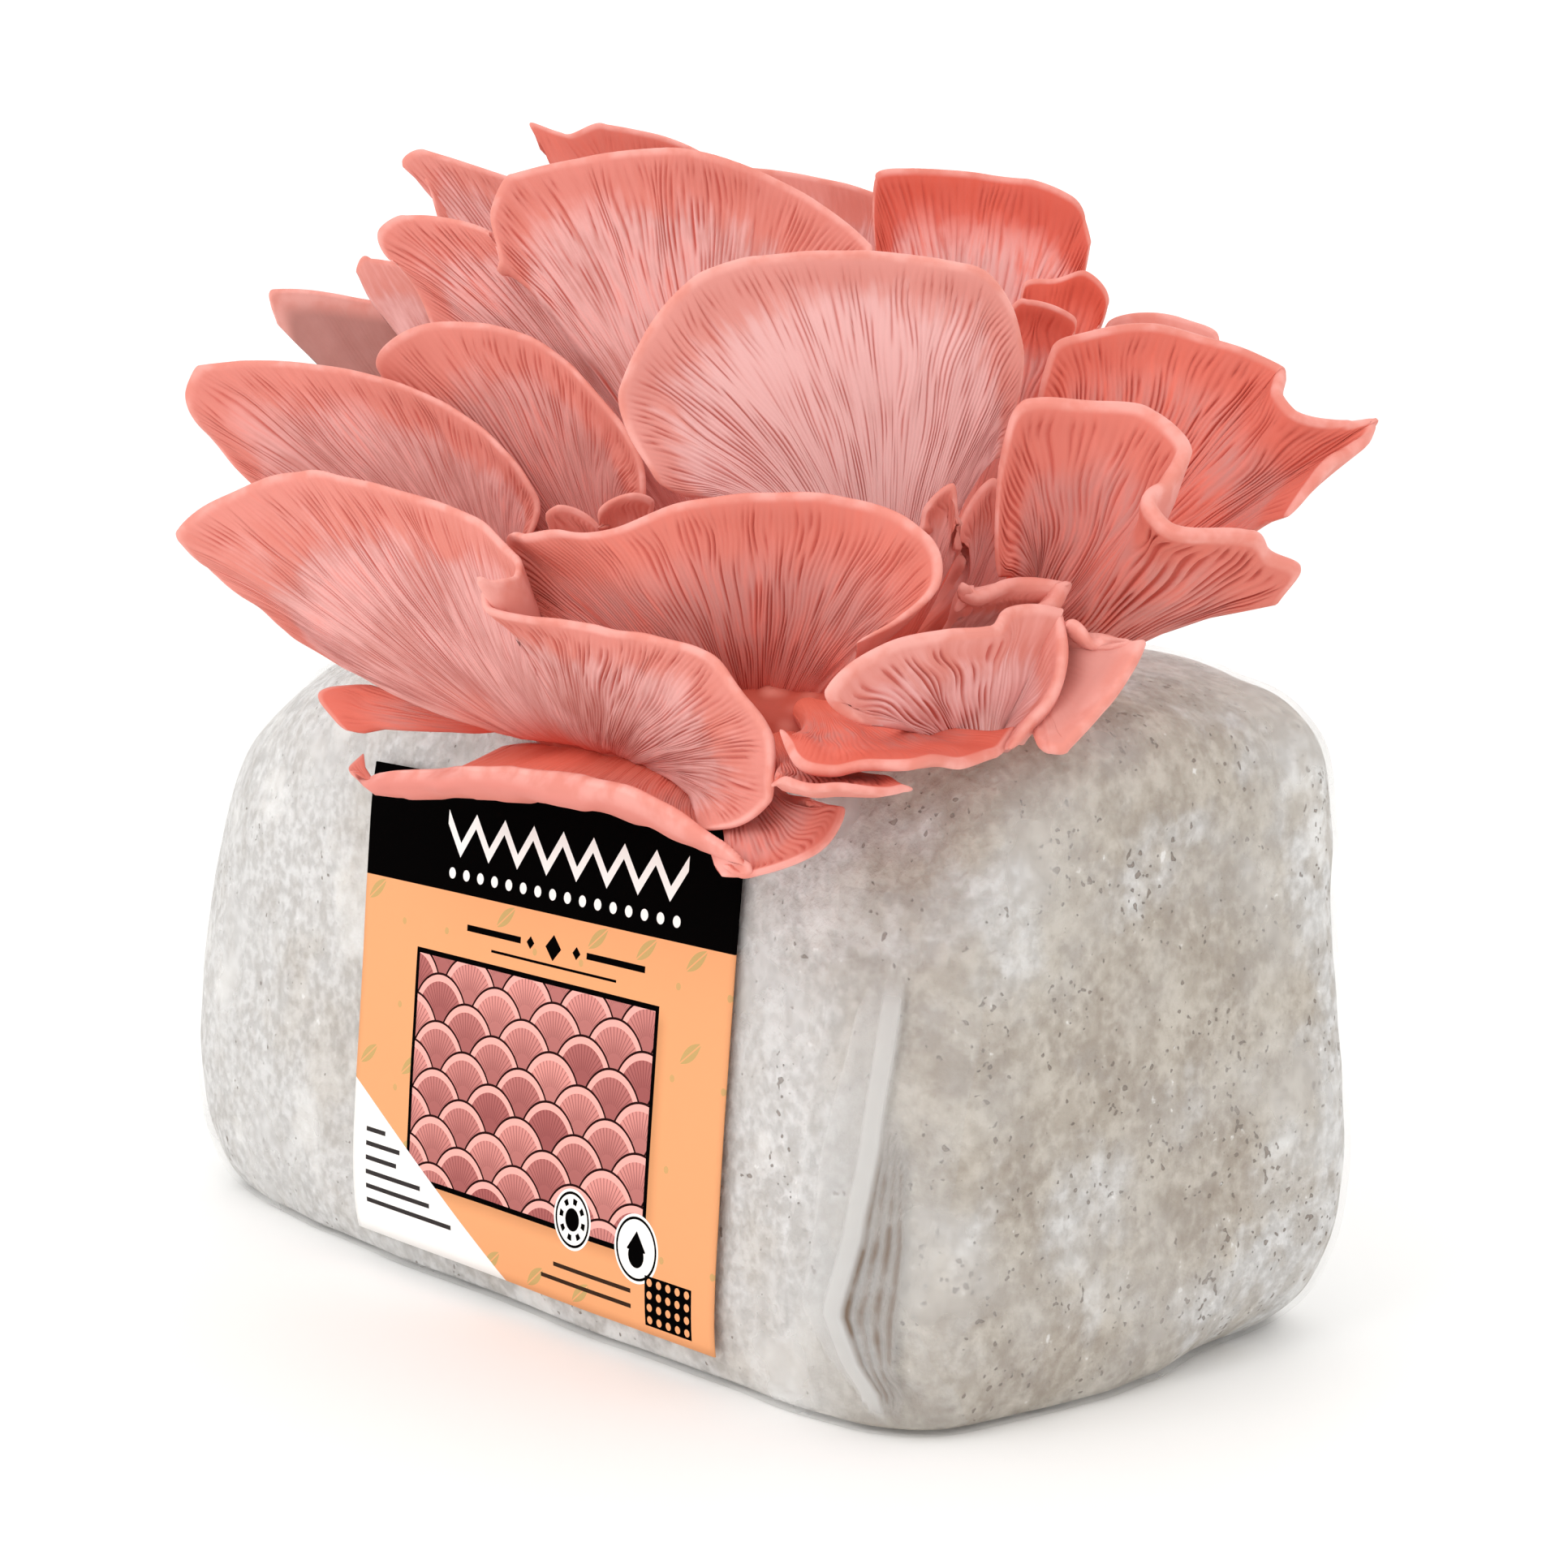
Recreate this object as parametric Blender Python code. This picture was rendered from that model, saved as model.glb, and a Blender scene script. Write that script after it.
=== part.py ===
"""Pink oyster mushroom grow kit: mushrooms fruiting from a bagged growing block.

Metres, +Z up, with the origin at the centre of the flat underside. X runs along the
block, the label faces -Y, and the mushrooms grow out of a cut along the top front edge.
"""
import bmesh
import bpy
import numpy as np
from mathutils import Vector

MM = 0.001

# The block in its film: a heavy, well-rounded cushion that sags flat on its underside.
BAG_LENGTH = 256 * MM
BAG_WIDTH = 114 * MM
BAG_HEIGHT = 126 * MM
BAG_WAIST = 75 * MM
BAG_SAG = 8 * MM
BAG_CUTS = 6
# Power of the superellipsoid: higher is boxier. The -X end and the top are the rounder ones.
BAG_POWER = 5.5
POWER_ALONG = 2.2
POWER_UP = -2.2
ROUNDEST_POWER = 2.5
FILM = 0.6 * MM
GAP = 0.3 * MM
SKIN_GAP = 0.7 * MM

# The fused butt that all the stems grow from, set in the cut in the film.
BASE_CENTRE = Vector((47, -16, 113)) * MM
BASE_HALF = Vector((56, 42, 15)) * MM
BASE_POWER = 2.5
BASE_CUTS = 4

# Printed label on the front face, left, right, bottom and top.
LABEL_X = (-35 * MM, 77 * MM)
LABEL_Z = (6 * MM, 97 * MM)
LABEL_THICKNESS = 0.3 * MM

# Breathing patch on the back face and the tape that closes the folded end.
PATCH_X = (-30 * MM, 30 * MM)
PATCH_Z = (42 * MM, 82 * MM)
TAPE_Y = (-12 * MM, 12 * MM)
TAPE_Z = (20 * MM, 100 * MM)

# A cap is thinnest at its rim and thickens towards the stem.
RIM_THICKNESS = 2.6
CAP_THICKNESS = 4.0
ROW_SPACING = 0.85
# The waves of the rim fade over this share of its length towards the stem.
WAVE_BLUR = 0.12

# Each mushroom in millimetres: stem width and depth, foot in the base, throat where the
# gills meet, and the rim read clockwise by someone who faces the gills.
MUSHROOMS = {
    "front_left": ((22, 6), (28, -46, 110), (42, -66, 103), [
        (-13, -78, 120), (-40, -85, 137), (-45, -88, 143), (-24, -82, 153), (-9, -76, 154),
        (25, -70, 148), (40, -71, 142), (49, -79, 139), (51, -86, 140), (49, -85, 136),
        (57, -78, 133), (89, -70, 128), (103, -68, 117), (106, -70, 110), (100, -71, 105)]),
    "front_lip": ((66, 4), (38, -48, 106), (42, -74, 96), [
        (99, -78, 95), (102, -77, 98), (76, -78, 102), (36, -76, 103), (-14, -73, 97)]),
    "front_low": ((8, 5), (72, -49, 109), (100, -70, 102), [
        (108, -64, 106), (113, -61, 105), (113, -68, 98), (105, -75, 94), (99, -76, 96)]),
    "left_low": ((7, 5), (14, -44, 112), (10, -65, 109), [
        (-13, -74, 107), (-19, -75, 113), (-9, -69, 115)]),
    "front_centre": ((20, 8), (62, -40, 114), (82, -55, 117), [
        (50, -73, 136), (47, -73, 142), (49, -71, 147), (58, -68, 147), (74, -60, 153),
        (96, -47, 154), (112, -41, 148), (117, -44, 139), (110, -56, 131)]),
    "front_curled": ((9, 7), (92, -26, 121), (124, -41, 133), [
        (133, -41, 118), (134, -50, 116), (130, -68, 121), (124, -75, 124),
        (122, -72, 130), (123, -58, 136), (124, -50, 135)]),
    "right_lip": ((8, 6), (83, -15, 122), (104, -21, 131), [
        (108, -32, 134), (108, -32, 140), (110, -30, 139), (111, -22, 140), (115, -14, 139),
        (117, -17, 135), (115, -23, 132)]),
    "right_drooping": ((8, 6), (94, -17, 119), (122, -28, 130), [
        (123, -27, 134), (126, -24, 134), (131, -23, 132), (138, -19, 130),
        (137, -35, 114), (135, -38, 114), (132, -38, 117)]),
    "front_thin": ((8, 5), (80, -46, 112), (112, -67, 110), [
        (132, -63, 111), (133, -71, 111), (131, -76, 111), (125, -80, 111), (114, -78, 112)]),
    "front_fold": ((9, 6), (80, -40, 117), (113, -60, 117), [
        (130, -45, 114), (132, -58, 114), (132, -65, 114), (122, -76, 114), (107, -71, 118)]),
    "right_front": ((13, 9), (86, -8, 122), (112, -8, 129), [
        (103, -16, 141), (101, -16, 164), (104, -13, 169), (120, -1, 169), (131, -1, 162),
        (133, -7, 156), (136, -14, 154), (139, -13, 151), (145, -1, 149), (145, 3, 146),
        (147, 8, 143), (144, 8, 138)]),
    "centre": ((13, 10), (65, -16, 123), (78, -19, 146), [
        (61, -52, 152), (59, -58, 156), (55, -62, 171), (65, -50, 191), (92, -16, 192),
        (95, -6, 179), (89, -4, 159)]),
    "left": ((11, 8), (8, -32, 120), (1, -51, 130), [
        (-28, -63, 135), (-54, -75, 158), (-58, -78, 167), (-55, -76, 173), (-24, -61, 172),
        (-1, -51, 163), (13, -48, 150), (14, -53, 137)]),
    "left_upper": ((11, 8), (20, -26, 122), (12, -39, 143), [
        (-7, -46, 151), (-26, -56, 173), (-16, -52, 181), (-1, -41, 179), (8, -37, 174),
        (20, -34, 159), (22, -35, 151), (20, -37, 145)]),
    "tall": ((13, 10), (32, -12, 123), (25, -23, 157), [
        (-2, -30, 157), (-18, -37, 168), (-35, -45, 193), (-38, -47, 198), (-33, -44, 201),
        (-15, -38, 198), (-9, -40, 192), (-12, -40, 201), (-11, -35, 208), (19, -15, 212),
        (51, -1, 195), (53, -8, 184), (48, -17, 170)]),
    "right": ((12, 9), (79, -2, 124), (101, 17, 139), [
        (83, 8, 161), (85, 17, 179), (102, 35, 177), (110, 44, 173), (114, 39, 169),
        (117, 39, 165), (119, 58, 166), (122, 54, 162), (123, 31, 150)]),
    "tall_right": ((11, 8), (56, 4, 123), (56, 17, 157), [
        (40, 10, 184), (35, 14, 207), (40, 19, 209), (59, 42, 204), (62, 43, 197),
        (63, 38, 188)]),
    "back_left": ((8, 6), (2, -22, 123), (-34, -29, 145), [
        (-81, -44, 181), (-81, -44, 187), (-56, -30, 183), (-47, -28, 177)]),
    "back_left_small": ((8, 6), (8, -10, 125), (-24, -26, 152), [
        (-58, -41, 190), (-56, -39, 193), (-42, -32, 189), (-34, -31, 178)]),
    "back_tall": ((9, 7), (16, -3, 125), (-10, -12, 165), [
        (-32, -23, 180), (-43, -30, 200), (-47, -31, 208), (-51, -33, 212), (-46, -31, 214),
        (-18, -18, 202), (-12, -15, 184)]),
    "back_top": ((9, 7), (30, 5, 122), (-6, 6, 168), [
        (-33, -9, 212), (-38, -12, 219), (-32, -7, 217), (-26, -3, 219), (-6, 8, 212),
        (-2, 9, 200)]),
    "back_middle": ((9, 7), (42, 7, 122), (22, 14, 168), [
        (6, 1, 205), (8, 7, 210), (26, 26, 204), (28, 25, 200)]),
    "back_right_small": ((8, 6), (66, 8, 122), (73, 21, 164), [
        (69, 19, 175), (67, 21, 188), (70, 26, 189), (73, 31, 190), (77, 33, 185),
        (76, 27, 172)]),
    "right_small": ((7, 6), (68, -4, 126), (77, 14, 161), [
        (72, 10, 181), (73, 14, 185), (79, 22, 182), (80, 21, 175)]),
    "back_right": ((8, 6), (74, 9, 123), (81, 38, 157), [
        (74, 33, 179), (75, 36, 183), (88, 50, 179), (88, 47, 170)]),
    "young_left_front": ((6, 5), (44, -42, 124), (43, -52, 140), [
        (42, -55, 144), (43, -57, 150), (48, -53, 153), (50, -50, 151), (47, -51, 142)]),
    "young_left": ((6, 5), (34, -42, 123), (32, -53, 140), [
        (28, -57, 143), (28, -57, 148), (31, -56, 150), (35, -51, 146), (35, -52, 141)]),
    "young_right_front": ((6, 5), (78, -22, 125), (92, -21, 142), [
        (90, -24, 145), (90, -24, 151), (93, -20, 155), (94, -19, 149), (93, -20, 145)]),
    "young_right": ((6, 5), (75, -12, 125), (91, -10, 137), [
        (89, -13, 141), (88, -14, 147), (90, -8, 155), (93, -5, 144), (92, -6, 139)]),
}


def clear_scene():
    for old in list(bpy.data.objects):
        bpy.data.objects.remove(old)


def material(name, colour, roughness):
    made = bpy.data.materials.new(name)
    made.use_nodes = True
    shader = made.node_tree.nodes["Principled BSDF"]
    shader.inputs["Base Color"].default_value = (*colour, 1.0)
    shader.inputs["Roughness"].default_value = roughness
    shader.inputs["Metallic"].default_value = 0.0
    return made


def add_object(name, shape, look):
    bmesh.ops.recalc_face_normals(shape, faces=shape.faces)
    if shape.calc_volume(signed=True) < 0:
        bmesh.ops.reverse_faces(shape, faces=shape.faces)
    mesh = bpy.data.meshes.new(name)
    shape.to_mesh(mesh)
    shape.free()
    mesh.shade_smooth()
    made = bpy.data.objects.new(name, mesh)
    if look:
        mesh.materials.append(look)
    else:
        made.hide_render = True
        made.display_type = "WIRE"
    bpy.context.collection.objects.link(made)
    return made


def cut(piece, cutter, solver="EXACT"):
    modifier = piece.modifiers.new("cut by " + cutter.name, "BOOLEAN")
    modifier.operation = "DIFFERENCE"
    modifier.solver = solver
    modifier.object = cutter


def bag_power(along, up):
    """Power of the bag's form at a place given as shares of its half length and height."""
    return max(ROUNDEST_POWER, BAG_POWER + POWER_ALONG * along + POWER_UP * up)


def rounded_box(cuts, power_at):
    """A cube of half size 1 with its edges and corners drawn in to a superellipsoid."""
    shape = bmesh.new()
    bmesh.ops.create_cube(shape, size=2)
    bmesh.ops.subdivide_edges(shape, edges=shape.edges, cuts=cuts, use_grid_fill=True)
    # The same diagonals in every size of the form keep film and block apart.
    bmesh.ops.triangulate(shape, faces=shape.faces, quad_method="FIXED")
    for vert in shape.verts:
        cube = [value * (1.3 - 0.3 * value**2) for value in vert.co]
        vert.co = cube
        for _ in range(12):
            power = power_at(vert.co.x, vert.co.z)
            size = sum(abs(value) ** power for value in cube) ** (1 / power)
            vert.co = [value / size for value in cube]
    return shape


def bag_form(inset):
    """The cushion form of the bag, smaller all round by inset and cut flat underneath."""
    shape = rounded_box(BAG_CUTS, bag_power)
    above = BAG_HEIGHT - BAG_WAIST - inset
    below = BAG_WAIST + BAG_SAG - inset
    for vert in shape.verts:
        vert.co.x *= BAG_LENGTH / 2 - inset
        vert.co.y *= BAG_WIDTH / 2 - inset
        vert.co.z = BAG_WAIST + vert.co.z * (above if vert.co.z > 0 else below)
    everything = shape.verts[:] + shape.edges[:] + shape.faces[:]
    bmesh.ops.bisect_plane(shape, geom=everything, plane_co=(0, 0, inset), plane_no=(0, 0, -1),
                           clear_outer=True, dist=0.00001)
    rim = [edge for edge in shape.edges if edge.is_boundary]
    bmesh.ops.holes_fill(shape, edges=rim, sides=0)
    return shape


def base_form(clearance):
    shape = rounded_box(BASE_CUTS, lambda along, up: BASE_POWER)
    for vert in shape.verts:
        vert.co.x *= BASE_HALF[0] + clearance
        vert.co.y *= BASE_HALF[1] + clearance
        vert.co.z *= BASE_HALF[2] + clearance
        vert.co += BASE_CENTRE
    return shape


def front_depth(x, z):
    """Distance of the bag's long faces from its middle plane at a place on them."""
    along = x / (BAG_LENGTH / 2)
    up = (z - BAG_WAIST) / (BAG_HEIGHT - BAG_WAIST if z > BAG_WAIST else BAG_WAIST + BAG_SAG)
    power = bag_power(along, up)
    return BAG_WIDTH / 2 * (1 - abs(along) ** power - abs(up) ** power) ** (1 / power)


def end_depth(y, z):
    """Distance of the bag's -X end from its middle at a place on it."""
    across = y / (BAG_WIDTH / 2)
    up = (z - BAG_WAIST) / (BAG_HEIGHT - BAG_WAIST if z > BAG_WAIST else BAG_WAIST + BAG_SAG)
    along = 1
    for _ in range(12):
        power = bag_power(-along, up)
        along = (1 - abs(across) ** power - abs(up) ** power) ** (1 / power)
    return BAG_LENGTH / 2 * along


def sheet_on_skin(across, up, place, parts=8):
    """A thin closed sheet over part of the skin; place(u, z, lift) gives its points."""
    shape = bmesh.new()
    bmesh.ops.create_grid(shape, x_segments=parts, y_segments=parts, size=1)
    result = bmesh.ops.extrude_face_region(shape, geom=shape.faces[:])
    outer = {item for item in result["geom"] if isinstance(item, bmesh.types.BMVert)}
    for vert in shape.verts:
        u = across[0] + (across[1] - across[0]) * (vert.co.x + 1) / 2
        z = up[0] + (up[1] - up[0]) * (vert.co.y + 1) / 2
        lift = SKIN_GAP + LABEL_THICKNESS if vert in outer else SKIN_GAP
        vert.co = place(u, z, lift)
    return shape


def spline(points, count):
    """Points evenly spaced along a smooth curve through the given ones."""
    ends = [2 * points[0] - points[1], *points, 2 * points[-1] - points[-2]]
    curve = []
    for before, start, stop, after in zip(ends, ends[1:], ends[2:], ends[3:]):
        reach = np.linalg.norm(stop - start)
        leave = (stop - before) * reach / (reach + np.linalg.norm(start - before))
        arrive = (after - start) * reach / (reach + np.linalg.norm(after - stop))
        for t in np.linspace(0, 1, 16, endpoint=False):
            curve.append((2 * t**3 - 3 * t**2 + 1) * start + (t**3 - 2 * t**2 + t) * leave
                         + (3 * t**2 - 2 * t**3) * stop + (t**3 - t**2) * arrive)
    curve = np.array(curve + [points[-1]])
    length = np.concatenate([[0], np.cumsum(np.linalg.norm(np.diff(curve, axis=0), axis=1))])
    wanted = np.linspace(0, length[-1], count)
    return np.stack([np.interp(wanted, length, curve[:, axis]) for axis in range(3)], axis=1)


def unit(vectors):
    return vectors / np.linalg.norm(vectors, axis=-1, keepdims=True)


def fan_surface(stem_width, foot, throat, rim, columns, rows):
    """Middle surface of a mushroom: lines that leave the stem, bend at the throat and
    spread to the rim. Returns points[column, row] and the share along each line."""
    edge = spline(rim, columns + 1)
    axis = unit(throat - foot)
    across = edge[3 * columns // 4] - edge[columns // 4]
    across = unit(across - axis * (across @ axis))
    side = np.linspace(-0.5, 0.5, columns + 1)[:, None, None] * across * stem_width
    out = np.linspace(0, 1, rows + 1)[None, :, None] ** ROW_SPACING
    share = np.linspace(0, 1, columns + 1)
    blur = np.exp(-(np.subtract.outer(share, share) / WAVE_BLUR) ** 2)
    calm = blur @ edge / blur.sum(axis=1, keepdims=True)
    spread = calm[:, None, :] + (edge - calm)[:, None, :] * out ** 3
    points = ((1 - out) ** 2 * (foot + side) + 2 * out * (1 - out) * (throat + 1.15 * side)
              + out ** 2 * spread)
    return points, out[0, :, 0]


def mushroom_skin(stem, foot, throat, rim, columns, rows):
    """The mushroom's skin as rows of points: up the gill side, round the rim and down the back."""
    points, out = fan_surface(stem[0], foot, throat, rim, columns, rows)
    normal = unit(np.cross(np.gradient(points, axis=0), np.gradient(points, axis=1)) + 1e-9)
    share = np.abs(np.linspace(-1, 1, columns + 1))[:, None]
    edge_round = np.sqrt(1 - share ** (2 + 8 * out))
    depth = np.interp(out, [0, 0.25, 0.6, 1],
                      [stem[1], 1.3 * CAP_THICKNESS, CAP_THICKNESS, RIM_THICKNESS])
    half = (edge_round * depth / 2)[:, :, None]
    nose = points[:, -1:] + unit(points[:, -1:] - points[:, -2:-1]) * half[:, -1:] * 0.8
    return np.concatenate([points + normal * half, nose, (points - normal * half)[:, ::-1]], 1)


def add_mushroom(name, stem, foot, throat, rim, look):
    rim = np.array(rim, float)
    girth = np.linalg.norm(np.diff(rim, axis=0), axis=1).sum()
    columns = int(np.clip(girth / 9, 8, 20))
    rows = int(np.clip(girth / 25, 3, 6))
    skin = mushroom_skin(stem, np.array(foot, float), np.array(throat, float), rim, columns, rows)
    shape = bmesh.new()
    bmesh.ops.create_grid(shape, x_segments=columns, y_segments=skin.shape[1] - 1, size=1)
    for vert in shape.verts:
        column = round((vert.co.x + 1) / 2 * columns)
        row = round((vert.co.y + 1) / 2 * (skin.shape[1] - 1))
        vert.co = skin[column, row] * MM
    bmesh.ops.remove_doubles(shape, verts=shape.verts, dist=0.00001)
    open_end = [edge for edge in shape.edges if edge.is_boundary]
    bmesh.ops.holes_fill(shape, edges=open_end, sides=0)
    return add_object(name, shape, look)


def build_bag(opening):
    film = material("clear film", (0.80, 0.79, 0.74), 0.30)
    bag = add_object("grow_bag", bag_form(0), film)
    cut(bag, add_object("inside_of_film", bag_form(FILM), None))
    cut(bag, opening)


def build_block(opening):
    mycelium = material("mycelium block", (0.62, 0.58, 0.50), 0.85)
    block = add_object("substrate_block", bag_form(FILM + GAP), mycelium)
    cut(block, opening)


def build_label():
    paper = material("label paper", (0.95, 0.55, 0.25), 0.45)

    def place(x, z, lift):
        return (x, -front_depth(x, z) - lift, z)

    add_object("label", sheet_on_skin(LABEL_X, LABEL_Z, place), paper)


def build_filter_patch():
    fleece = material("filter fleece", (0.88, 0.88, 0.86), 0.90)

    def place(x, z, lift):
        return (x, front_depth(x, z) + lift, z)

    add_object("filter_patch", sheet_on_skin(PATCH_X, PATCH_Z, place), fleece)


def build_tape():
    tape = material("clear tape", (0.85, 0.83, 0.76), 0.25)

    def place(y, z, lift):
        return (-end_depth(y, z) - lift, y, z)

    add_object("tape_strip", sheet_on_skin(TAPE_Y, TAPE_Z, place), tape)


def build_cluster(clearance):
    skin_clearance = add_object("skin_clearance", bag_form(-2 * GAP), None)
    flesh = material("pink mushroom", (0.82, 0.42, 0.36), 0.55)
    butt = material("mushroom base", (0.80, 0.45, 0.38), 0.65)
    add_object("cluster_base", base_form(0), butt)
    for name, (stem, foot, throat, rim) in MUSHROOMS.items():
        prefix = "" if name.startswith("young") else "mushroom_"
        mushroom = add_mushroom(prefix + name, stem, foot, throat, rim, flesh)
        # EXACT loses part of these thin folded sheets.
        cut(mushroom, clearance, "MANIFOLD")
        cut(mushroom, skin_clearance, "MANIFOLD")


clear_scene()
base_clearance = add_object("base_clearance", base_form(2 * GAP), None)
build_block(base_clearance)
build_bag(base_clearance)
build_label()
build_filter_patch()
build_tape()
build_cluster(base_clearance)
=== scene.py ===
"""Pink oyster mushroom grow kit, dressed: finishes, film, printed label and gilled caps.

Metres, +Z up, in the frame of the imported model. Sizes in millimetres are multiplied by MM.
"""

import bmesh
import bpy
import numpy as np
from mathutils import Matrix, Vector, noise


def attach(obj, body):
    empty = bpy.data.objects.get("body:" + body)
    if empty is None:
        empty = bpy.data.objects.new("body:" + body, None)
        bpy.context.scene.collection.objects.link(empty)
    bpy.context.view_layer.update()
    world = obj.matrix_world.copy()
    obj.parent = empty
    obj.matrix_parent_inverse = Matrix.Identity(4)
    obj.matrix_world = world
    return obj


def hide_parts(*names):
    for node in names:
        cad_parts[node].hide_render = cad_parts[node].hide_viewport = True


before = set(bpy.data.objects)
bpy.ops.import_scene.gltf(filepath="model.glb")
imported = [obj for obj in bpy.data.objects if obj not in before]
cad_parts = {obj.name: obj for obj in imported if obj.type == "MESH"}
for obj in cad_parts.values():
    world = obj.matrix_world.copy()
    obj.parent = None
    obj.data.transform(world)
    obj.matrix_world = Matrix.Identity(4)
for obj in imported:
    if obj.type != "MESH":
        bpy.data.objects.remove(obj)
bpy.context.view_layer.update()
MM = 0.001


# Studio: a plain white sweep with soft light, and the camera above and to the right of the
# label's face, about 0.7 m away with a long lens.
VIEW_BACK = Vector((0.758589, -0.636532, 0.139173))
VIEW_RIGHT = Vector((0.642788, 0.766044, 0.0))
VIEW_FROM = Vector((0.53847, -0.43096, 0.18851))


def look_along(back, right, place):
    turned = Matrix((right, back.cross(right), back)).transposed().to_4x4()
    return Matrix.Translation(place) @ turned


camera_data = bpy.data.cameras.new("camera")
camera_data.lens = 82
camera_data.sensor_width = 36
camera_data.clip_start = 0.01
camera = bpy.data.objects.new("camera", camera_data)
camera.matrix_world = look_along(VIEW_BACK, VIEW_RIGHT, VIEW_FROM)
bpy.context.collection.objects.link(camera)
bpy.context.scene.camera = camera
bpy.context.scene.view_settings.view_transform = "Standard"

SKY_STRENGTH = 1.16
# Each softbox: where it hangs, its side and its power in watts.
SOFTBOXES = {
    "key_softbox": ((0.10, -1.05, 1.00), 0.9, 4.0),
}


def hang_softbox(name, place, side, power):
    lamp = bpy.data.lights.new(name, "AREA")
    lamp.size = side
    lamp.energy = power
    box = bpy.data.objects.new(name, lamp)
    back = (Vector(place) - Vector((0.0, 0.0, 0.1))).normalized()
    right = Vector((0, 0, 1)).cross(back).normalized()
    box.matrix_world = look_along(back, right, place)
    bpy.context.collection.objects.link(box)


for softbox, (place, side, power) in SOFTBOXES.items():
    hang_softbox(softbox, place, side, power)
sky = bpy.data.worlds.new("sky")
sky.use_nodes = True
sky.node_tree.nodes["Background"].inputs["Color"].default_value = (1.0, 0.99, 0.98, 1.0)
sky.node_tree.nodes["Background"].inputs["Strength"].default_value = SKY_STRENGTH
bpy.context.scene.world = sky


def colour(code):
    """A colour as it looks on a screen, such as "E8806F", as the light it reflects."""
    shares = [int(code[at:at + 2], 16) / 255 for at in (0, 2, 4)]
    return (*[s / 12.92 if s <= 0.04045 else ((s + 0.055) / 1.055) ** 2.4 for s in shares], 1.0)


class Wire:
    """A socket of a finish that can stand in sums: each operator adds a Math node."""

    def __init__(self, finish, socket):
        self.finish = finish
        self.socket = socket

    def math(self, operation, *values):
        return self.finish.node("Math", {"operation": operation}, dict(enumerate(values)))

    def __add__(self, other):
        return self.math("ADD", self, other)

    def __sub__(self, other):
        return self.math("SUBTRACT", self, other)

    def __rsub__(self, other):
        return self.math("SUBTRACT", other, self)

    def __mul__(self, other):
        return self.math("MULTIPLY", self, other)

    def __truediv__(self, other):
        return self.math("DIVIDE", self, other)

    def __pow__(self, other):
        return self.math("POWER", self, other)

    def __lt__(self, other):
        return self.math("LESS_THAN", self, other)

    def __gt__(self, other):
        return self.math("GREATER_THAN", self, other)

    def __abs__(self):
        return self.math("ABSOLUTE", self)

    __radd__ = __add__
    __rmul__ = __mul__


class Finish:
    """A material with its Principled shader, and one method that adds any other node."""

    def __init__(self, name, roughness=0.5):
        self.material = bpy.data.materials.new(name)
        self.material.use_nodes = True
        self.tree = self.material.node_tree
        self.shader = self.tree.nodes["Principled BSDF"]
        self.shader.inputs["Roughness"].default_value = roughness

    def node(self, kind, settings={}, inputs={}, output=0):
        made = self.tree.nodes.new("ShaderNode" + kind)
        for name, value in settings.items():
            if name == "stops":
                for at, shade in value:
                    made.color_ramp.elements.new(at).color = shade
                made.color_ramp.elements.remove(made.color_ramp.elements[0])
                made.color_ramp.elements.remove(made.color_ramp.elements[-1])
            else:
                setattr(made, name, value)
        self.feed(made, inputs)
        return Wire(self, made.outputs[output])

    def feed(self, made, inputs):
        for name, value in inputs.items():
            if isinstance(value, Wire):
                self.tree.links.new(value.socket, made.inputs[name])
            else:
                made.inputs[name].default_value = value

    def wear(self, **inputs):
        self.feed(self.shader, {name.replace("_", " "): value for name, value in inputs.items()})

    def mix(self, share, first, second):
        return self.node("Mix", {"data_type": "RGBA"}, {0: share, 6: first, 7: second}, output=2)

    def ease(self, value, low, high):
        """0 below low, 1 above high and smooth between."""
        return self.node("MapRange", {"interpolation_type": "SMOOTHSTEP"},
                         {"Value": value, "From Min": low, "From Max": high})

    def place(self):
        return self.node("TexCoord", output="Object")

    def axes(self):
        """The three coordinates in millimetres."""
        split = self.node("SeparateXYZ", inputs={0: self.place()})
        return [Wire(self, socket) * 1000 for socket in split.socket.node.outputs]

    def grain(self, size, detail=2.0, stretch=(1, 1, 1), seed=0.0):
        """Noise from 0 to 1 whose blotches are about this many millimetres wide."""
        spread = self.node("Mapping", inputs={"Vector": self.place(), "Scale": stretch,
                                              "Location": (seed, seed, seed)})
        return self.node("TexNoise", inputs={"Vector": spread, "Scale": 1 / (size * MM),
                                             "Detail": detail})

    def bump(self, height, depth):
        """Relief this many millimetres deep, fed to the shader's Normal."""
        self.wear(Normal=self.node("Bump", inputs={"Height": height, "Strength": 1.0,
                                                   "Distance": depth * MM}))


floor_finish = Finish("white floor", roughness=0.6)
floor_finish.wear(Base_Color=colour("FBFBFA"))
floor_mesh = bpy.data.meshes.new("floor")
floor_shape = bmesh.new()
bmesh.ops.create_grid(floor_shape, x_segments=1, y_segments=1, size=6)
bmesh.ops.translate(floor_shape, verts=floor_shape.verts, vec=(0, 0, -0.0002))
floor_shape.to_mesh(floor_mesh)
floor_shape.free()
floor_mesh.materials.append(floor_finish.material)
floor = bpy.data.objects.new("floor", floor_mesh)
bpy.context.collection.objects.link(floor)


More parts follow.
